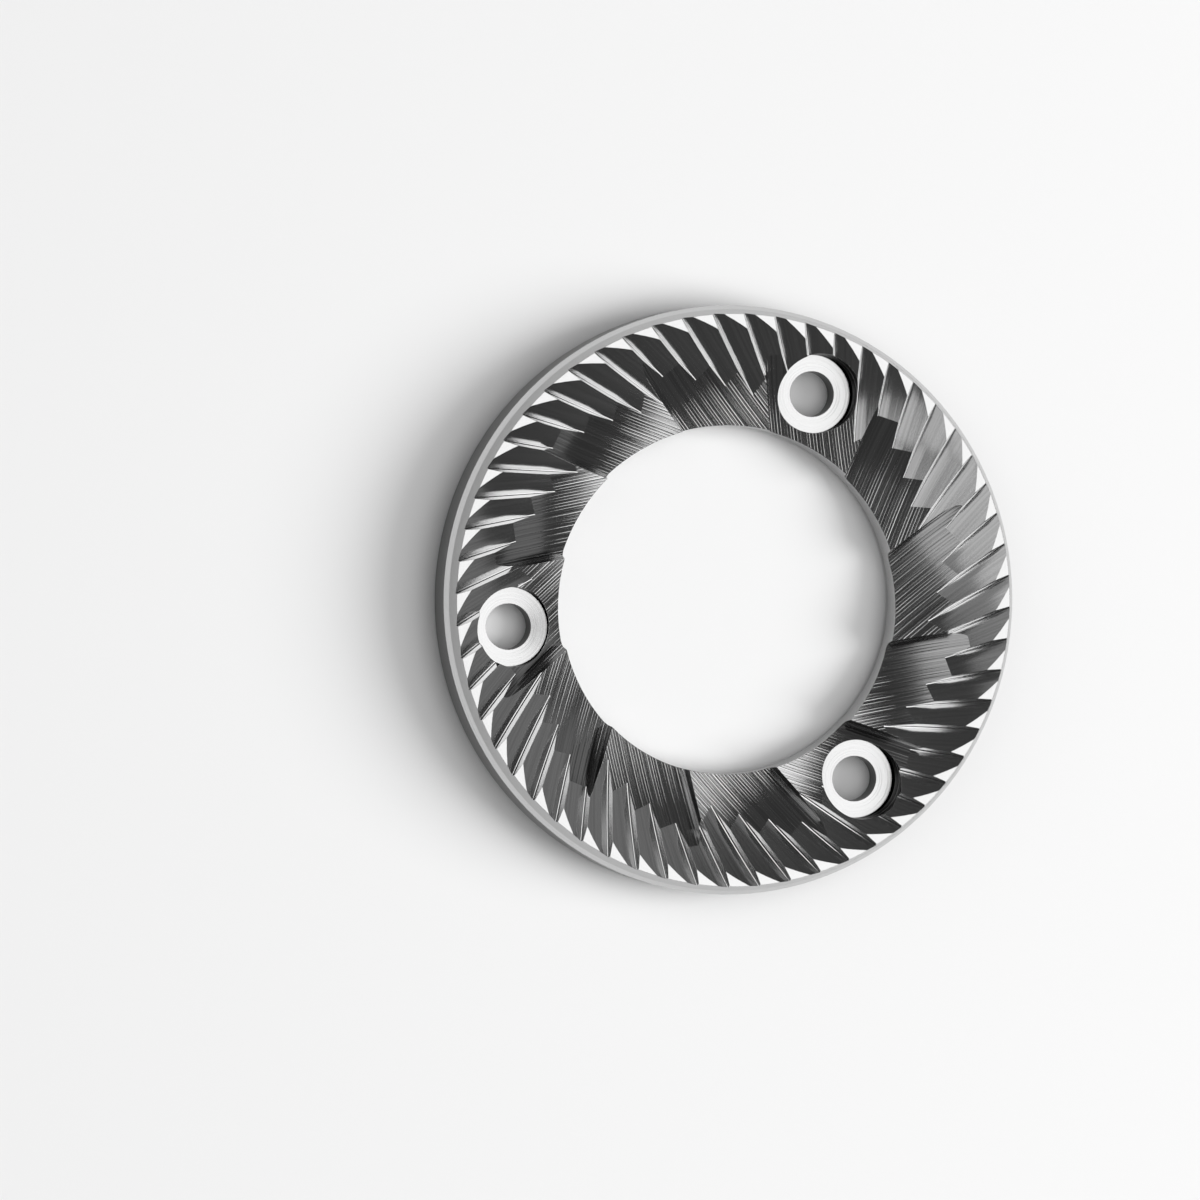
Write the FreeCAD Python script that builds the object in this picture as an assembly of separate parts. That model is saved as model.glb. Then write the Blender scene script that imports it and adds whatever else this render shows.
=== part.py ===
import FreeCAD, Part
import math
import os

# Flat grinding burr for a coffee grinder: one steel ring with a toothed face.
# Origin: centre of the back face; +Z points out of the toothed face.
# The first screw hole lies on +X. Sizes are in mm, angles in degrees.

# Ring
OUTER_D = 64.0
BORE_D = 38.0
THICKNESS = 7.0
BACK_CHAMFER = 0.3

# Rim beside the land: a steep bevel from the land, then a flatter one to the outer wall
LAND_D = 62.0
STEEP_BEVEL_W = 0.56
STEEP_BEVEL_H = 1.48
BEVEL_H = 0.67

# Counterbored screw holes
HOLE_COUNT = 3
HOLE_PCD = 49.0
HOLE_D = 5.0
COUNTERBORE_D = 8.6
COUNTERBORE_DEPTH = 4.5

# Both kinds of cut follow the arc of a bevelled disc whose axis lies above the face.
# A depth is that of the sharp corner of its two bevels, before the edge radius.
DISC_ARC_IN = 25.0
DISC_ARC_OUT = 40.0
CLEAR_H = 0.5

# Grinding teeth
TOOTH_COUNT = 56
TOOTH_DISC_R = 39.0
TOOTH_PHASE = 1.5
TOOTH_TANGENT_R = 13.0
TOOTH_DEEPEST_AT = 16.65
TOOTH_DEPTH = 2.06
TOOTH_GENTLE_ANGLE = 24.0
TOOTH_STEEP_ANGLE = 64.0
TOOTH_EDGE_R = 0.0

# Breaker steps
BREAKER_COUNT = 12
BREAKER_DISC_R = 31.0
BREAKER_PHASE = 3.55
BREAKER_TANGENT_R = 8.08
BREAKER_DEEPEST_AT = 9.66
BREAKER_DEPTH = 5.61
BREAKER_GENTLE_ANGLE = 20.2
BREAKER_STEEP_ANGLE = 77.8
BREAKER_EDGE_R = 0.6

UP = FreeCAD.Vector(0, 0, 1)
ORIGIN = FreeCAD.Vector(0, 0, 0)


def ring_blank():
    """Turned ring with the bevelled rim and small chamfers at the back."""
    outer_r = OUTER_D / 2
    bore_r = BORE_D / 2
    land_r = LAND_D / 2
    steep_z = THICKNESS - STEEP_BEVEL_H
    outline = [
        (bore_r, BACK_CHAMFER),
        (bore_r + BACK_CHAMFER, 0),
        (outer_r - BACK_CHAMFER, 0),
        (outer_r, BACK_CHAMFER),
        (outer_r, steep_z - BEVEL_H),
        (land_r + STEEP_BEVEL_W, steep_z),
        (land_r, THICKNESS),
        (bore_r, THICKNESS),
    ]
    points = [FreeCAD.Vector(r, 0, z) for r, z in outline]
    face = Part.Face(Part.makePolygon(points + points[:1]))
    return face.revolve(ORIGIN, UP, 360)


def disc_cut(disc_r, tangent_r, deepest_at, depth, gentle_angle, steep_angle, edge_r):
    """Sweep of a bevelled disc edge, along +X and tangent to a circle about the burr axis."""
    gentle = math.radians(gentle_angle)
    steep = math.radians(steep_angle)
    tip = FreeCAD.Vector(deepest_at, -tangent_r, THICKNESS - depth)
    gentle_dir = FreeCAD.Vector(0, -math.cos(gentle), math.sin(gentle))
    steep_dir = FreeCAD.Vector(0, math.cos(steep), math.sin(steep))
    height = depth + CLEAR_H
    gentle_top = tip + gentle_dir * (height / math.sin(gentle))
    steep_top = tip + steep_dir * (height / math.sin(steep))

    half_angle = (math.pi - gentle - steep) / 2
    reach = edge_r / math.tan(half_angle)
    gentle_foot = tip + gentle_dir * reach
    steep_foot = tip + steep_dir * reach
    inward = (gentle_dir + steep_dir).normalize()
    edge_middle = tip + inward * (edge_r / math.sin(half_angle) - edge_r)

    outline = [
        Part.makeLine(gentle_top, gentle_foot),
        Part.makeLine(steep_foot, steep_top),
        Part.makeLine(steep_top, gentle_top),
    ]
    if edge_r > 0:
        outline.insert(1, Part.Arc(gentle_foot, edge_middle, steep_foot).toShape())
    face = Part.Face(Part.Wire(outline))
    axis_point = FreeCAD.Vector(deepest_at, 0, THICKNESS - depth + disc_r)
    axis_dir = FreeCAD.Vector(0, -1, 0)
    face.rotate(axis_point, axis_dir, -DISC_ARC_IN)
    return face.revolve(axis_point, axis_dir, DISC_ARC_IN + DISC_ARC_OUT)


def around(shape, count, phase):
    """Copies of the shape at equal steps about the burr axis."""
    copies = []
    for k in range(count):
        copy = shape.copy()
        copy.rotate(ORIGIN, UP, phase + k * 360 / count)
        copies.append(copy)
    return copies


def screw_hole():
    """Clearance hole with a counterbore open to the toothed face."""
    place = FreeCAD.Vector(HOLE_PCD / 2, 0, -CLEAR_H)
    hole = Part.makeCylinder(HOLE_D / 2, THICKNESS, place, UP)
    floor = FreeCAD.Vector(HOLE_PCD / 2, 0, THICKNESS - COUNTERBORE_DEPTH)
    return hole.fuse(Part.makeCylinder(COUNTERBORE_D / 2, COUNTERBORE_DEPTH + CLEAR_H, floor, UP))


def burr():
    """The ring with its breaker steps, teeth and screw holes cut into it."""
    breaker = disc_cut(BREAKER_DISC_R, BREAKER_TANGENT_R, BREAKER_DEEPEST_AT,
                       BREAKER_DEPTH, BREAKER_GENTLE_ANGLE, BREAKER_STEEP_ANGLE, BREAKER_EDGE_R)
    tooth = disc_cut(TOOTH_DISC_R, TOOTH_TANGENT_R, TOOTH_DEEPEST_AT,
                     TOOTH_DEPTH, TOOTH_GENTLE_ANGLE, TOOTH_STEEP_ANGLE, TOOTH_EDGE_R)
    shape = ring_blank()
    shape = shape.cut(around(breaker, BREAKER_COUNT, BREAKER_PHASE))
    shape = shape.cut(around(tooth, TOOTH_COUNT, TOOTH_PHASE))
    shape = shape.cut(around(screw_hole(), HOLE_COUNT, 0))
    return shape.Solids[0] if len(shape.Solids) == 1 else shape


os.makedirs("parts", exist_ok=True)
burr().exportStep("parts/burr.step")
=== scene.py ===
import bpy
import bmesh
import math
import numpy as np
from mathutils import Matrix, Vector


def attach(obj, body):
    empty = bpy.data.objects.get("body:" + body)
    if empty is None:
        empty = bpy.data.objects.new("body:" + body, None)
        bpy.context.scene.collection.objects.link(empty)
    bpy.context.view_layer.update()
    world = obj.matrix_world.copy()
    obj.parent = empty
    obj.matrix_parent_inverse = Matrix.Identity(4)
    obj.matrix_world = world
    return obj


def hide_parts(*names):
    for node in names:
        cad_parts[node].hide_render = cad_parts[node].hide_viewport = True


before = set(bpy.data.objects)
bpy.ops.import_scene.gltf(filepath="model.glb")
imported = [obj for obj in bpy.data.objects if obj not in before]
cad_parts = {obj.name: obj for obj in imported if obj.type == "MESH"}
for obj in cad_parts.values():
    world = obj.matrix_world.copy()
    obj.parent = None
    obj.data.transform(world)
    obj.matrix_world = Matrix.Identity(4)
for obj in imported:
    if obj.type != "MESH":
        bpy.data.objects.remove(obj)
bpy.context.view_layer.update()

# Flat grinding burr, +Z out of the toothed face, first screw hole on +X.
# Lengths below are in mm and angles in degrees, the same sizes as in the part's source.
MM = 0.001
OUTER_R = 32.0
BORE_R = 19.0
THICKNESS = 7.0
LAND_R = 31.0

HOLE_COUNT = 3
HOLE_CIRCLE_R = 24.5
HOLE_R = 2.5
COUNTERBORE_R = 4.3
COUNTERBORE_DEPTH = 4.5

BREAKER = dict(count=12, phase=3.55, disc_r=31.0, tangent_r=8.08, deepest=9.66,
               depth=5.61, gentle=20.2, steep=77.8, edge_r=0.6)
TOOTH = dict(count=56, phase=1.5, disc_r=39.0, tangent_r=13.0, deepest=16.65,
             depth=2.06, gentle=24.0, steep=64.0, edge_r=0.0)

# Camera of the photograph: its place and turn about the burr in the photograph's own
# axes, whose +X is the image's right, and the angle from the row frame to those axes
PHOTO_AXES = 69.07
CAMERA_SHIFT = (0.477782, -0.001263, -18.79313)
CAMERA_TURN = (0.0083144, 0.2421721, -0.0413598)
CAMERA_LENS = 161.467
CAMERA_SENSOR = 36.0


def linear(code):
    """Linear colour of an sRGB hex code."""
    channels = [int(code[i:i + 2], 16) / 255 for i in (1, 3, 5)]
    return tuple(c / 12.92 if c <= 0.04045 else ((c + 0.055) / 1.055) ** 2.4 for c in channels) + (1.0,)


def cut_profile(cut, q):
    """Height of the disc's edge above its sharp corner at q, its slope, and the side that q is on."""
    gentle = math.radians(cut["gentle"])
    steep = math.radians(cut["steep"])
    half = (math.pi - gentle - steep) / 2
    reach = cut["edge_r"] / math.tan(half)
    on_gentle = q > reach * math.cos(gentle)
    on_steep = q < -reach * math.cos(steep)
    side = np.where(on_gentle, 1, np.where(on_steep, -1, 0 if reach > 0 else 1))
    inward = np.array([math.cos(gentle) - math.cos(steep), math.sin(gentle) + math.sin(steep)])
    centre = inward / np.linalg.norm(inward) * cut["edge_r"] / math.sin(half)
    limit = 0.995 * cut["edge_r"]
    across = np.clip(q - centre[0], -limit, limit)
    down = np.sqrt(max(cut["edge_r"], 0.001) ** 2 - across ** 2)
    height = np.select([side == 1, side == -1],
                       [q * math.tan(gentle), -q * math.tan(steep)], centre[1] - down)
    return height, across / down, side


def cut_surface(cut, index, points, side=None):
    """Depth below the land, unit normal, u along and q across the cut, and side, at points in mm."""
    turn = np.radians(cut["phase"] + index * 360 / cut["count"])
    x, y = points[..., 0], points[..., 1]
    u = x * np.cos(turn) + y * np.sin(turn)
    q = x * np.sin(turn) - y * np.cos(turn) - cut["tangent_r"]
    height, edge_slope, found = cut_profile(cut, q)
    side = found if side is None else side
    slope = np.select([side == 1, side == -1],
                      [math.tan(math.radians(cut["gentle"])), -math.tan(math.radians(cut["steep"]))],
                      edge_slope)
    radius = np.maximum(cut["disc_r"] - height, 0.001)
    rise = np.sqrt(np.maximum(radius ** 2 - (u - cut["deepest"]) ** 2, 0.0001))
    depth = rise - (cut["disc_r"] - cut["depth"])
    by_u = (cut["deepest"] - u) / rise
    by_q = -radius * slope / rise
    normal = np.stack([by_u * np.cos(turn) + by_q * np.sin(turn),
                       by_u * np.sin(turn) - by_q * np.cos(turn), np.ones_like(u)], -1)
    normal /= np.linalg.norm(normal, axis=-1, keepdims=True)
    return depth, normal, u, q, found


def steel_copy():
    """The burr's own mesh as a new piece, with its loose triangles joined."""
    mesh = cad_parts["burr"].data.copy()
    mesh.name = "burr_steel"
    edit = bmesh.new()
    edit.from_mesh(mesh)
    bmesh.ops.remove_doubles(edit, verts=edit.verts, dist=0.0005 * MM)
    bmesh.ops.dissolve_degenerate(edit, edges=edit.edges, dist=0.0005 * MM)
    bmesh.ops.triangulate(edit, faces=edit.faces)
    edit.to_mesh(mesh)
    edit.free()
    for layer in list(mesh.uv_layers):
        mesh.uv_layers.remove(layer)
    piece = bpy.data.objects.new("burr_steel", mesh)
    bpy.context.scene.collection.objects.link(piece)
    return piece


SURFACES = ["land", "steep_rim", "flat_rim", "wall", "bore", "back", "chamfer", "hole", "sink_wall",
            "sink_floor", "tooth", "tooth_wall", "breaker", "breaker_wall", "breaker_foot"]
KIND = {name: number for number, name in enumerate(SURFACES)}


def hole_nearest(points):
    """Offset in the face plane from the nearest screw hole's axis."""
    offsets = []
    for k in range(HOLE_COUNT):
        turn = 2 * math.pi * k / HOLE_COUNT
        axis = np.array([HOLE_CIRCLE_R * math.cos(turn), HOLE_CIRCLE_R * math.sin(turn)])
        offsets.append(points[..., :2] - axis)
    offsets = np.array(offsets)
    nearest = np.argmin(np.hypot(offsets[..., 0], offsets[..., 1]), axis=0)
    return np.take_along_axis(offsets, nearest[None, ..., None], axis=0)[0]


# The foot radius of a step shades as the gentle face up to this slope, and as the wall above it
FOOT_SPLIT = 1.0
# The hollow of a tooth's wall makes its upper part shade steeper than its mean angle
WALL_SHADE = 67.0
# The lines on a breaker's face make it shade less steep than its mean angle
BREAKER_SHADE = 17.2


def sort_faces(middle, normal):
    """Surface kind, cut index and side of every face."""
    kind = np.full(len(middle), -1)
    cut_index = np.full(len(middle), -1)
    side = np.zeros(len(middle))
    r = np.hypot(middle[:, 0], middle[:, 1])
    out = (normal[:, 0] * middle[:, 0] + normal[:, 1] * middle[:, 1]) / r
    up = normal[:, 2]
    z = middle[:, 2]
    from_hole = np.hypot(*hole_nearest(middle).T)
    near = 0.06
    level = np.abs(up) < 0.02
    kind[(up > 0.9995) & (z > THICKNESS - near)] = KIND["land"]
    kind[(r > LAND_R - near) & (out > 0.3) & (up > 0.1) & (up < 0.45)] = KIND["steep_rim"]
    kind[(r > LAND_R - near) & (out > 0.3) & (up >= 0.45) & (up < 0.8)] = KIND["flat_rim"]
    kind[(r > OUTER_R - near) & level & (out > 0.5)] = KIND["wall"]
    kind[(r < BORE_R + near) & level & (out < -0.5)] = KIND["bore"]
    kind[(z < near) & (up < -0.999)] = KIND["back"]
    kind[(z < 0.4) & (up < -0.3) & (up > -0.99)] = KIND["chamfer"]
    kind[(from_hole < HOLE_R + near) & level] = KIND["hole"]
    kind[(np.abs(from_hole - COUNTERBORE_R) < near) & level] = KIND["sink_wall"]
    sunk = np.abs(z - THICKNESS + COUNTERBORE_DEPTH) < near
    kind[(from_hole < COUNTERBORE_R) & sunk & (up > 0.9995)] = KIND["sink_floor"]

    rest = np.flatnonzero(kind < 0)
    best = np.full(len(rest), np.inf)
    for cut, names in ((BREAKER, ("breaker", "breaker_wall", "breaker_foot")),
                       (TOOTH, ("tooth", "tooth_wall", "tooth"))):
        for k in range(cut["count"]):
            depth, ideal, u, q, found = cut_surface(cut, k, middle[rest])
            off = np.abs(depth - THICKNESS + z[rest]) * ideal[:, 2]
            lean = 1 - np.sum(ideal * normal[rest], axis=1)
            score = off + lean
            better = score < best
            best = np.where(better, score, best)
            on_foot = cut_profile(cut, q)[1] > -FOOT_SPLIT
            found = np.where(found == 0, np.where(on_foot, 1, -1), found)
            which = np.select([found == 1, found == -1], [KIND[names[0]], KIND[names[1]]], KIND[names[2]])
            kind[rest[better]] = which[better]
            cut_index[rest[better]] = k
            side[rest[better]] = found[better]
    return kind, cut_index, side


def dress(piece):
    """Exact normals, sharp edges and a grain map in mm, and the kind of surface of every face."""
    mesh = piece.data
    count = len(mesh.polygons)
    corner_points = np.empty(len(mesh.vertices) * 3)
    mesh.vertices.foreach_get("co", corner_points)
    corner_points = corner_points.reshape(-1, 3) / MM
    corners = np.empty(count * 3, np.int32)
    mesh.loops.foreach_get("vertex_index", corners)
    corners = corners.reshape(-1, 3)
    points = corner_points[corners]
    flat = np.cross(points[:, 1] - points[:, 0], points[:, 2] - points[:, 0])
    flat /= np.maximum(np.linalg.norm(flat, axis=1, keepdims=True), 1e-12)
    middle = points.mean(axis=1)
    kind, cut_index, side = sort_faces(middle, flat)

    normals = np.repeat(flat[:, None, :], 3, axis=1)
    grain = np.zeros((count, 3, 2))
    place = np.zeros((count, 3, 2))
    turned_grain(points, middle, flat, kind, normals, grain)
    for cut, names in ((BREAKER, ("breaker", "breaker_wall", "breaker_foot")), (TOOTH, ("tooth", "tooth_wall"))):
        for k in range(cut["count"]):
            mine = np.isin(kind, [KIND[n] for n in names]) & (cut_index == k)
            face_side = np.repeat(side[mine][:, None], 3, axis=1)
            depth, ideal, u, q, found = cut_surface(cut, k, points[mine], face_side)
            shaded = dict(TOOTH, steep=WALL_SHADE) if cut is TOOTH else dict(BREAKER, gentle=BREAKER_SHADE)
            turned = cut_surface(shaded, k, points[mine], face_side)[1]
            ideal = np.where(face_side[..., None] == (-1 if cut is TOOTH else 1), turned, ideal)
            normals[mine] = ideal
            across = np.where(face_side == -1, -points[mine][..., 2], q)
            grain[mine] = np.stack([u, across + k * 13.7], -1)
            lean = np.radians(np.where(face_side == -1, cut["steep"], cut["gentle"]))
            place[mine] = np.stack([np.abs(q) / np.cos(lean), u], -1)

    for name, values in (("grain", grain), ("place", place)):
        layer = mesh.uv_layers.new(name=name)
        layer.data.foreach_set("uv", values.reshape(-1))
    mesh.polygons.foreach_set("use_smooth", np.ones(count, bool))
    surface = kind * 100 + cut_index
    mark_sharp(mesh, surface)
    mesh.normals_split_custom_set(normals.reshape(-1, 3).tolist())
    return kind


def turned_grain(points, middle, flat, kind, normals, grain):
    """Normals and grain of the lathe-turned surfaces about the burr axis and the hole axes."""
    for names, local in ((("land", "steep_rim", "flat_rim", "wall", "bore", "back", "chamfer"), False),
                         (("hole", "sink_wall", "sink_floor"), True)):
        mine = np.isin(kind, [KIND[n] for n in names])
        around = hole_nearest(points[mine]) if local else points[mine][..., :2]
        around_middle = hole_nearest(middle[mine]) if local else middle[mine][:, :2]
        r = np.hypot(around[..., 0], around[..., 1])
        direction = around / r[..., None]
        middle_r = np.hypot(around_middle[:, 0], around_middle[:, 1])
        middle_angle = np.arctan2(around_middle[:, 1], around_middle[:, 0])
        up = flat[mine][:, 2]
        outward = np.sign(np.sum(flat[mine][:, :2] * around_middle, axis=1))
        radial = outward * np.sqrt(np.maximum(1 - up ** 2, 0))
        level = np.abs(up) > 0.9995
        radial = np.where(level, 0, radial)
        up = np.where(level, np.sign(up), up)
        normals[mine] = np.concatenate([direction * radial[:, None, None],
                                        np.broadcast_to(up[:, None, None], r.shape + (1,))], -1)
        angle = np.arctan2(around[..., 1], around[..., 0])
        step = (angle - middle_angle[:, None] + math.pi) % (2 * math.pi) - math.pi
        along = (middle_angle[:, None] + step) * middle_r[:, None]
        across = np.where(np.abs(up)[:, None] > 0.5, r, points[mine][..., 2])
        grain[mine] = np.stack([along, across], -1)


def mark_sharp(mesh, surface):
    """An edge between two different surfaces is sharp, the rest are smooth."""
    edit = bmesh.new()
    edit.from_mesh(mesh)
    edit.faces.ensure_lookup_table()
    for edge in edit.edges:
        labels = {surface[face.index] for face in edge.link_faces}
        edge.smooth = len(labels) == 1 and len(edge.link_faces) == 2
    edit.to_mesh(mesh)
    edit.free()


def add(tree, kind, settings=(), sockets=()):
    """Adds a shader node. Each socket gets a value or a link from another node's output."""
    node = tree.nodes.new("ShaderNode" + kind)
    for name, value in dict(settings).items():
        setattr(node, name, value)
    for name, value in dict(sockets).items():
        if isinstance(value, bpy.types.NodeSocket):
            tree.links.new(value, node.inputs[name])
        else:
            node.inputs[name].default_value = value
    return node


EDGE_BREAK = 0.05
# Painted shade: a near black line along the valley, at the foot of each tooth's wall
VALLEY_PAINTED_SHADE = ("place", "#202020", [(0.075, 0.15, None)])
# Painted shade: a near black band low on the counterbore's wall, next to its floor
SINK_CORNER_PAINTED_SHADE = ("grain", "#202020", [(THICKNESS - COUNTERBORE_DEPTH + 0.9, THICKNESS - COUNTERBORE_DEPTH + 1.3, None)])
# Painted highlight: a near white band along the foot radius of a breaker's step
STEP_PAINTED_HIGHLIGHT = ("place", "#f0f0f0", [(0.45, 0.65, None)])
CUSP_POWER = 6.0
STREAK_PITCH = 0.25
STREAK_LENGTH = 80.0


def math_node(tree, operation, *values):
    """Output of one Math node."""
    return add(tree, "Math", {"operation": operation}, dict(enumerate(values))).outputs[0]


def foot_height(tree, distance, width, soft, turn):
    """Height in mm of a foot that turns the face by an angle within a width of the valley."""
    left = math_node(tree, "MAXIMUM", math_node(tree, "SUBTRACT", width + soft, distance), 0.0)
    near = math_node(tree, "MINIMUM", left, 2 * soft)
    curve = math_node(tree, "MULTIPLY", math_node(tree, "MULTIPLY", near, near), 0.25 / soft)
    rise = math_node(tree, "ADD", curve, math_node(tree, "SUBTRACT", left, near))
    return math_node(tree, "MULTIPLY", rise, math.tan(math.radians(turn)))


def cusps(tree, grain, pitch, length, height):
    """Height in mm of the regular cusps that a cutter leaves, with a drift along them."""
    parts = add(tree, "SeparateXYZ", {}, {"Vector": grain})
    place = add(tree, "Mapping", {}, {"Vector": grain, "Scale": (1 / length, 0.6 / pitch, 1)})
    drift = add(tree, "TexNoise", {"noise_dimensions": "2D"},
                {"Vector": place.outputs["Vector"], "Scale": 1.0, "Detail": 0.0}).outputs["Fac"]
    step = math_node(tree, "DIVIDE", parts.outputs["Y"], pitch)
    phase = math_node(tree, "FRACT", math_node(tree, "ADD", step, math_node(tree, "MULTIPLY", drift, 0.6)))
    away = math_node(tree, "MULTIPLY", math_node(tree, "ABSOLUTE", math_node(tree, "SUBTRACT", phase, 0.5)), 2.0)
    hollow = math_node(tree, "MULTIPLY", math_node(tree, "POWER", away, CUSP_POWER), height)
    return math_node(tree, "MULTIPLY", hollow, math_node(tree, "MAXIMUM", math_node(
        tree, "MULTIPLY", math_node(tree, "SUBTRACT", drift, 0.3), 4.0), 0.15))


def bump(tree, height, normal, strength=1.0):
    """Normal bent by a height in mm."""
    return add(tree, "Bump", {}, {"Strength": strength, "Distance": MM, "Height": height,
                                  "Normal": normal}).outputs["Normal"]


def steel(name, colour, roughness, spread, anisotropy, lines, feet=(), bore_lines=False, painted_light_bands=None,
          edge_colour="#ffffff", streaks=0.0, tilt=None):
    """Steel with the lines that its tool left, each set as pitch, length and height in mm,
    and the foot of its face, set as width in mm and angle turned."""
    material = bpy.data.materials.new(name)
    material.use_nodes = True
    tree = material.node_tree
    tree.nodes.clear()
    grain = add(tree, "UVMap", {"uv_map": "grain"}).outputs["UV"]
    place = add(tree, "SeparateXYZ", {}, {"Vector": add(tree, "UVMap", {"uv_map": "place"}).outputs["UV"]})
    across_grain = add(tree, "SeparateXYZ", {}, {"Vector": grain}).outputs["Y"]
    normal = add(tree, "Bevel", {"samples": 4}, {"Radius": EDGE_BREAK * MM}).outputs["Normal"]
    if tilt:
        axis, angle = tilt
        rise = math_node(tree, "MULTIPLY", add(tree, "SeparateXYZ", {}, {"Vector": grain}).outputs[axis],
                         math.tan(math.radians(angle)))
        normal = bump(tree, rise, normal)
    for foot in feet:
        normal = bump(tree, foot_height(tree, place.outputs["X"], *foot), normal)
    strength = 1.0
    if bore_lines:
        strength = add(tree, "MapRange", {"interpolation_type": "SMOOTHSTEP"}, {
            "Value": place.outputs["Y"], "From Min": 17.5, "From Max": 23.0, "To Min": 1.0, "To Max": 0.7}).outputs[0]
    for pitch, length, height, crested in lines:
        if crested:
            normal = bump(tree, cusps(tree, grain, pitch, length, height), normal, strength)
            continue
        scale = add(tree, "Mapping", {}, {"Vector": grain, "Scale": (1 / length, 1 / pitch, 1)})
        noise = add(tree, "TexNoise", {"noise_dimensions": "2D"},
                    {"Vector": scale.outputs["Vector"], "Scale": 1.0, "Detail": 2.0, "Roughness": 0.6})
        normal = bump(tree, math_node(tree, "MULTIPLY", noise.outputs["Fac"], height), normal, strength)
    rough = add(tree, "MapRange", {}, {"Value": noise.outputs["Fac"], "From Min": 0.3, "From Max": 0.7,
                                       "To Min": roughness - spread, "To Max": roughness + spread})
    base = linear(colour)
    if streaks:
        along = add(tree, "Mapping", {}, {"Vector": grain, "Scale": (1 / STREAK_LENGTH, 1 / STREAK_PITCH, 1)})
        streak = add(tree, "TexNoise", {"noise_dimensions": "2D"},
                     {"Vector": along.outputs["Vector"], "Scale": 1.0, "Detail": 1.0})
        light = add(tree, "MapRange", {}, {"Value": streak.outputs["Fac"], "From Min": 0.35, "From Max": 0.65,
                                           "To Min": 0.0, "To Max": 1.0}).outputs[0]
        dark = tuple(c * (1 - streaks) for c in base[:3]) + (1.0,)
        base = add(tree, "Mix", {"data_type": "RGBA"}, {0: light, 6: dark, 7: base}).outputs[2]
    # Painted light and shade: bands of a given colour across a map, dark in valleys and corners, light at a foot
    if painted_light_bands:
        across, first, changes = painted_light_bands
        where = across_grain if across == "grain" else place.outputs["X"]
        shade = linear(first)
        for low, high, code in changes:
            share = add(tree, "MapRange", {"interpolation_type": "SMOOTHSTEP"}, {
                "Value": where, "From Min": low, "From Max": high, "To Min": 0.0, "To Max": 1.0}).outputs[0]
            shade = add(tree, "Mix", {"data_type": "RGBA"},
                        {0: share, 6: shade, 7: linear(code) if code else base}).outputs[2]
        base = shade
    tangent = add(tree, "Tangent", {"direction_type": "UV_MAP", "uv_map": "grain"})
    shader = add(tree, "BsdfPrincipled", {}, {
        "Base Color": base, "Metallic": 1.0, "Roughness": rough.outputs["Result"],
        "Specular Tint": linear(edge_colour),
        "Anisotropic": anisotropy, "Anisotropic Rotation": 0.25,
        "Tangent": tangent.outputs["Tangent"], "Normal": normal})
    output = add(tree, "OutputMaterial")
    tree.links.new(shader.outputs["BSDF"], output.inputs["Surface"])
    return material


def finishes():
    """One finish for each kind of surface."""
    ground = steel("ground_steel", "#cfcfcf", 0.24, 0.03, 0.3, [(0.05, 6.0, 0.0004, False)])
    # Steep rim: the same turned steel as the flat rim, given a darker base colour, painted shade
    steep_rim = steel("turned_steep_rim_steel_painted_dark", "#b0b0b0", 0.18, 0.05, 0.5, [(0.06, 20.0, 0.0008, False)])
    turned = steel("fine_turned_steel", "#c8c8c8", 0.18, 0.05, 0.5, [(0.06, 20.0, 0.0008, False)])
    # Outer wall and bottom chamfer: turned steel given a dark base colour, painted shade
    wall = steel("turned_rim_steel_painted_dark", "#707070", 0.14, 0.05, 0.5,
                 [(0.12, 30.0, 0.002, False)], streaks=0.2)
    bore = steel("turned_bore_steel", "#d4d4d4", 0.16, 0.05, 0.5, [(0.12, 30.0, 0.001, False)])
    back = steel("turned_back_steel", "#c8c8c8", 0.32, 0.05, 0.5, [(0.12, 30.0, 0.002, False)])
    drilled = steel("bored_hole_steel", "#585858", 0.18, 0.05, 0.5, [(0.12, 10.0, 0.002, False)])
    floor = steel("counterbore_floor_steel", "#d0d0d0", 0.24, 0.05, 0.0, [(0.1, 10.0, 0.001, False)], tilt=("Y", 8.0))
    # Counterbore wall: painted shade, a dark edge tint that dims its grazing reflection and a dark band by its floor
    sink = steel("counterbore_wall_steel", "#a0a0a0", 0.2, 0.04, 0.3,
                 [(0.12, 10.0, 0.001, False), (1.4, 60.0, 0.04, True)], painted_light_bands=SINK_CORNER_PAINTED_SHADE,
                 edge_colour="#606060")
    tooth = steel("milled_tooth_steel", "#dedede", 0.15, 0.03, 0.5,
                  [(0.5, 60.0, 0.003, False), (0.18, 40.0, 0.0022, False), (0.12, 0.2, 0.001, False)],
                  [(0.9, 0.3, -5.0), (0.11, 0.05, 22.0)], streaks=0.12)
    # Tooth wall, with a painted shade line along its valley
    tooth_wall = steel("milled_tooth_wall_steel", "#dedede", 0.14, 0.04, 0.5,
                       [(0.16, 40.0, 0.001, False)], painted_light_bands=VALLEY_PAINTED_SHADE)
    breaker = steel("milled_breaker_steel", "#d4d4d4", 0.14, 0.05, 0.7,
                    [(0.15, 90.0, 0.0015, False), (0.32, 120.0, 0.0095, True)], bore_lines=True, streaks=0.25, tilt=("X", -1.5))
    # Breaker step: a dark base colour over its wall, painted shade, with the painted highlight along its foot
    step = steel("milled_step_steel", "#5c5c5c", 0.14, 0.04, 0.5,
                 [(0.16, 40.0, 0.001, False)], painted_light_bands=STEP_PAINTED_HIGHLIGHT)
    return {"land": ground, "steep_rim": steep_rim, "flat_rim": turned, "wall": wall, "bore": bore,
            "back": back, "chamfer": wall, "hole": drilled, "sink_wall": sink, "sink_floor": floor,
            "tooth": tooth, "tooth_wall": tooth_wall, "breaker": breaker, "breaker_wall": step,
            "breaker_foot": step}


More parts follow.
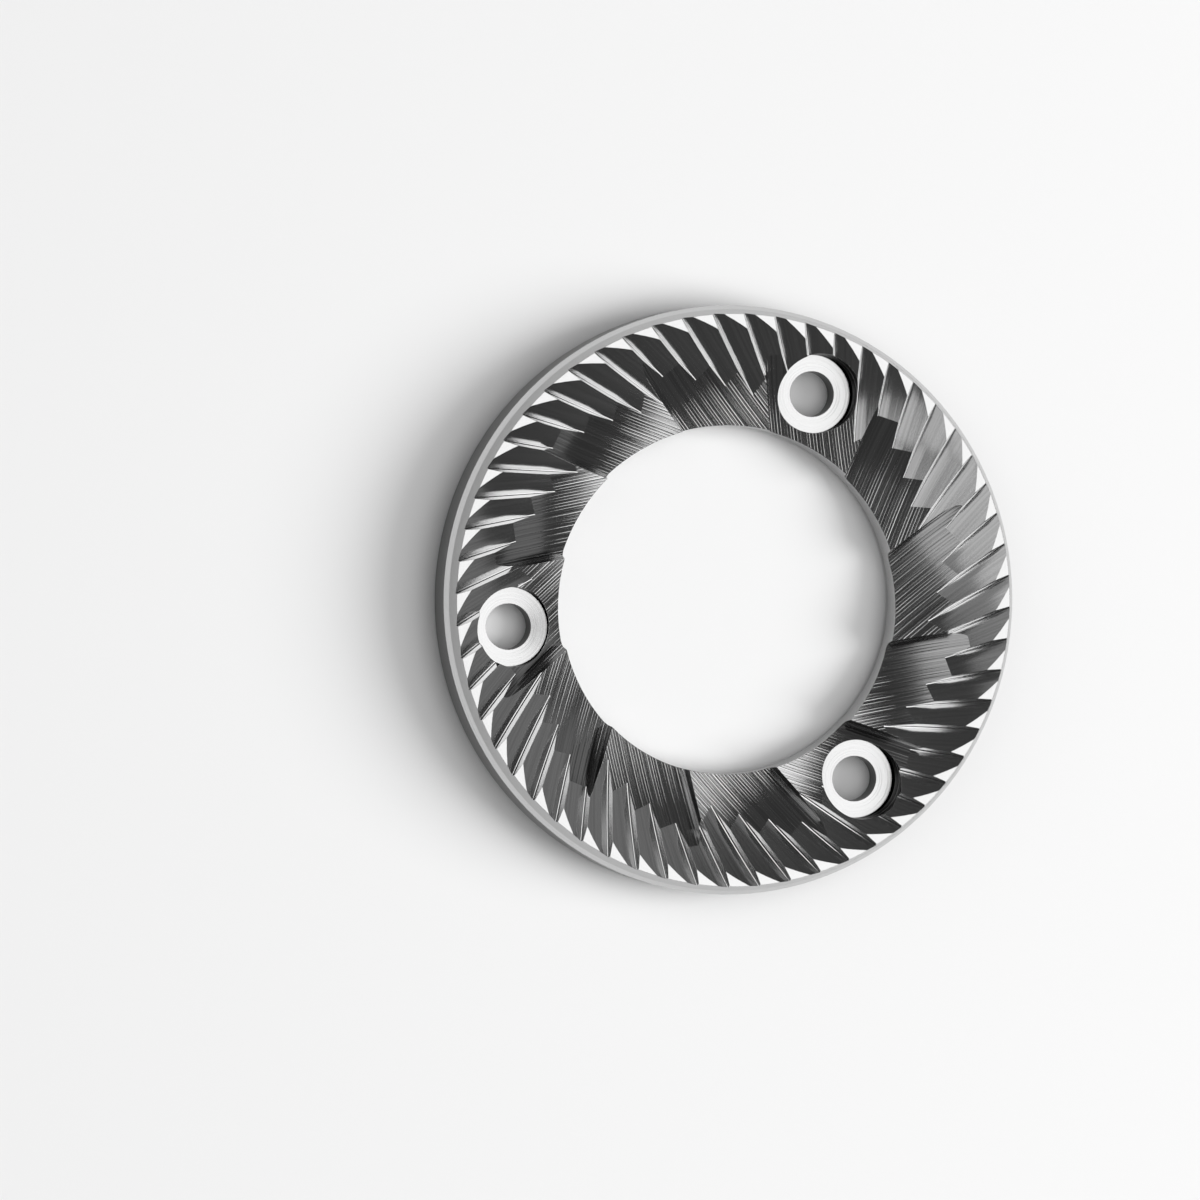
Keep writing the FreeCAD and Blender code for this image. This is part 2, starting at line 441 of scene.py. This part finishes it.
def paint(piece, kind):
    """Gives each face the material of its kind of surface."""
    piece.data.materials.clear()
    by_kind = finishes()
    slots = []
    for name in SURFACES:
        if by_kind[name] not in slots:
            slots.append(by_kind[name])
            piece.data.materials.append(by_kind[name])
    index = np.array([slots.index(by_kind[SURFACES[k]]) for k in kind], np.int32)
    piece.data.polygons.foreach_set("material_index", index)


def camera():
    """Camera at the photograph's place, looking at the burr lying flat."""
    axis = Vector(CAMERA_TURN)
    to_camera = Matrix.Rotation(axis.length, 3, axis.normalized())
    from_photo = Matrix.Rotation(math.radians(-PHOTO_AXES), 3, "Z")
    place = from_photo @ (to_camera.transposed() @ -Vector(CAMERA_SHIFT)) * LAND_R
    place.z += THICKNESS
    data = bpy.data.cameras.new("photo_camera")
    data.lens = CAMERA_LENS
    data.sensor_width = CAMERA_SENSOR
    data.clip_start = 0.01
    data.clip_end = 20
    eye = bpy.data.objects.new("photo_camera", data)
    turn = from_photo @ to_camera.transposed()
    eye.matrix_world = Matrix.Translation(place * MM) @ turn.to_4x4()
    bpy.context.scene.collection.objects.link(eye)
    bpy.context.scene.camera = eye


def floor():
    """Plain pale floor, white to the camera where nothing shades it."""
    half = 1.5
    mesh = bpy.data.meshes.new("floor")
    mesh.from_pydata([(-half, -half, 0), (half, -half, 0), (half, half, 0), (-half, half, 0)], [], [(0, 1, 2, 3)])
    ground = bpy.data.objects.new("floor", mesh)
    ground.location.z = -0.05 * MM
    bpy.context.scene.collection.objects.link(ground)
    material = bpy.data.materials.new("white_paper")
    material.use_nodes = True
    tree = material.node_tree
    tree.nodes.clear()
    paper = add(tree, "BsdfDiffuse", {}, {"Color": linear("#f0f0f0")})
    output = add(tree, "OutputMaterial")
    tree.links.new(paper.outputs["BSDF"], output.inputs["Surface"])
    mesh.materials.append(material)


def softbox(name, azimuth, elevation, distance, width, height, radiance, seen_in_metal=True,
            shape="ELLIPSE", roll=0, shift=(0.0, 0.0)):
    """Lamp aimed at the burr. Azimuth is in the photograph's axes, radiance 1 is white."""
    data = bpy.data.lights.new(name, "AREA")
    data.shape = shape
    data.size = width
    data.size_y = height
    data.energy = radiance * math.pi * width * height * (math.pi / 4 if shape == "ELLIPSE" else 1)
    lamp = bpy.data.objects.new(name, data)
    a = math.radians(azimuth - PHOTO_AXES)
    e = math.radians(elevation)
    toward = Vector((math.cos(a) * math.cos(e), math.sin(a) * math.cos(e), math.sin(e)))
    rolled = toward.to_track_quat("Z", "Y").to_matrix() @ Matrix.Rotation(math.radians(roll), 3, "Z")
    lamp.location = toward * distance + rolled @ Vector((*shift, 0))
    lamp.rotation_euler = rolled.to_euler()
    lamp.visible_glossy = seen_in_metal
    bpy.context.scene.collection.objects.link(lamp)


def lights():
    """Soft studio light: a large box on the right, a row of low strips on the left, and a dim room."""
    softbox("key", 0, 71, 1.3, 1.7, 1.14, 1.5)
    softbox("left", 135, 36, 1.4, 0.72, 1.106, 0.55, shape="RECTANGLE", roll=14, shift=(0.451, 0.0))
    softbox("left_start", 135, 36, 1.4, 0.4, 1.106, 0.2, shape="RECTANGLE", roll=14, shift=(-0.109, 0.0))
    softbox("left_end", 135, 36, 1.4, 0.56, 1.302, 0.55, shape="RECTANGLE", roll=14, shift=(1.12, 0.091))
    softbox("right", 0, 25, 1.6, 3.0, 0.55, 0.13)
    softbox("paper_side", -5, 34, 2.0, 1.3, 1.3, 9.5, False)
    softbox("paper_top", 0, 90, 2.0, 3.0, 3.0, 0.35, False)
    world = bpy.data.worlds.new("room")
    world.use_nodes = True
    world.node_tree.nodes["Background"].inputs["Color"].default_value = linear("#404040")
    bpy.context.scene.world = world


steel_piece = steel_copy()
surface_kinds = dress(steel_piece)
paint(steel_piece, surface_kinds)
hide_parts("burr")
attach(steel_piece, "root")
camera()
floor()
lights()
bpy.context.scene.view_settings.view_transform = "Standard"
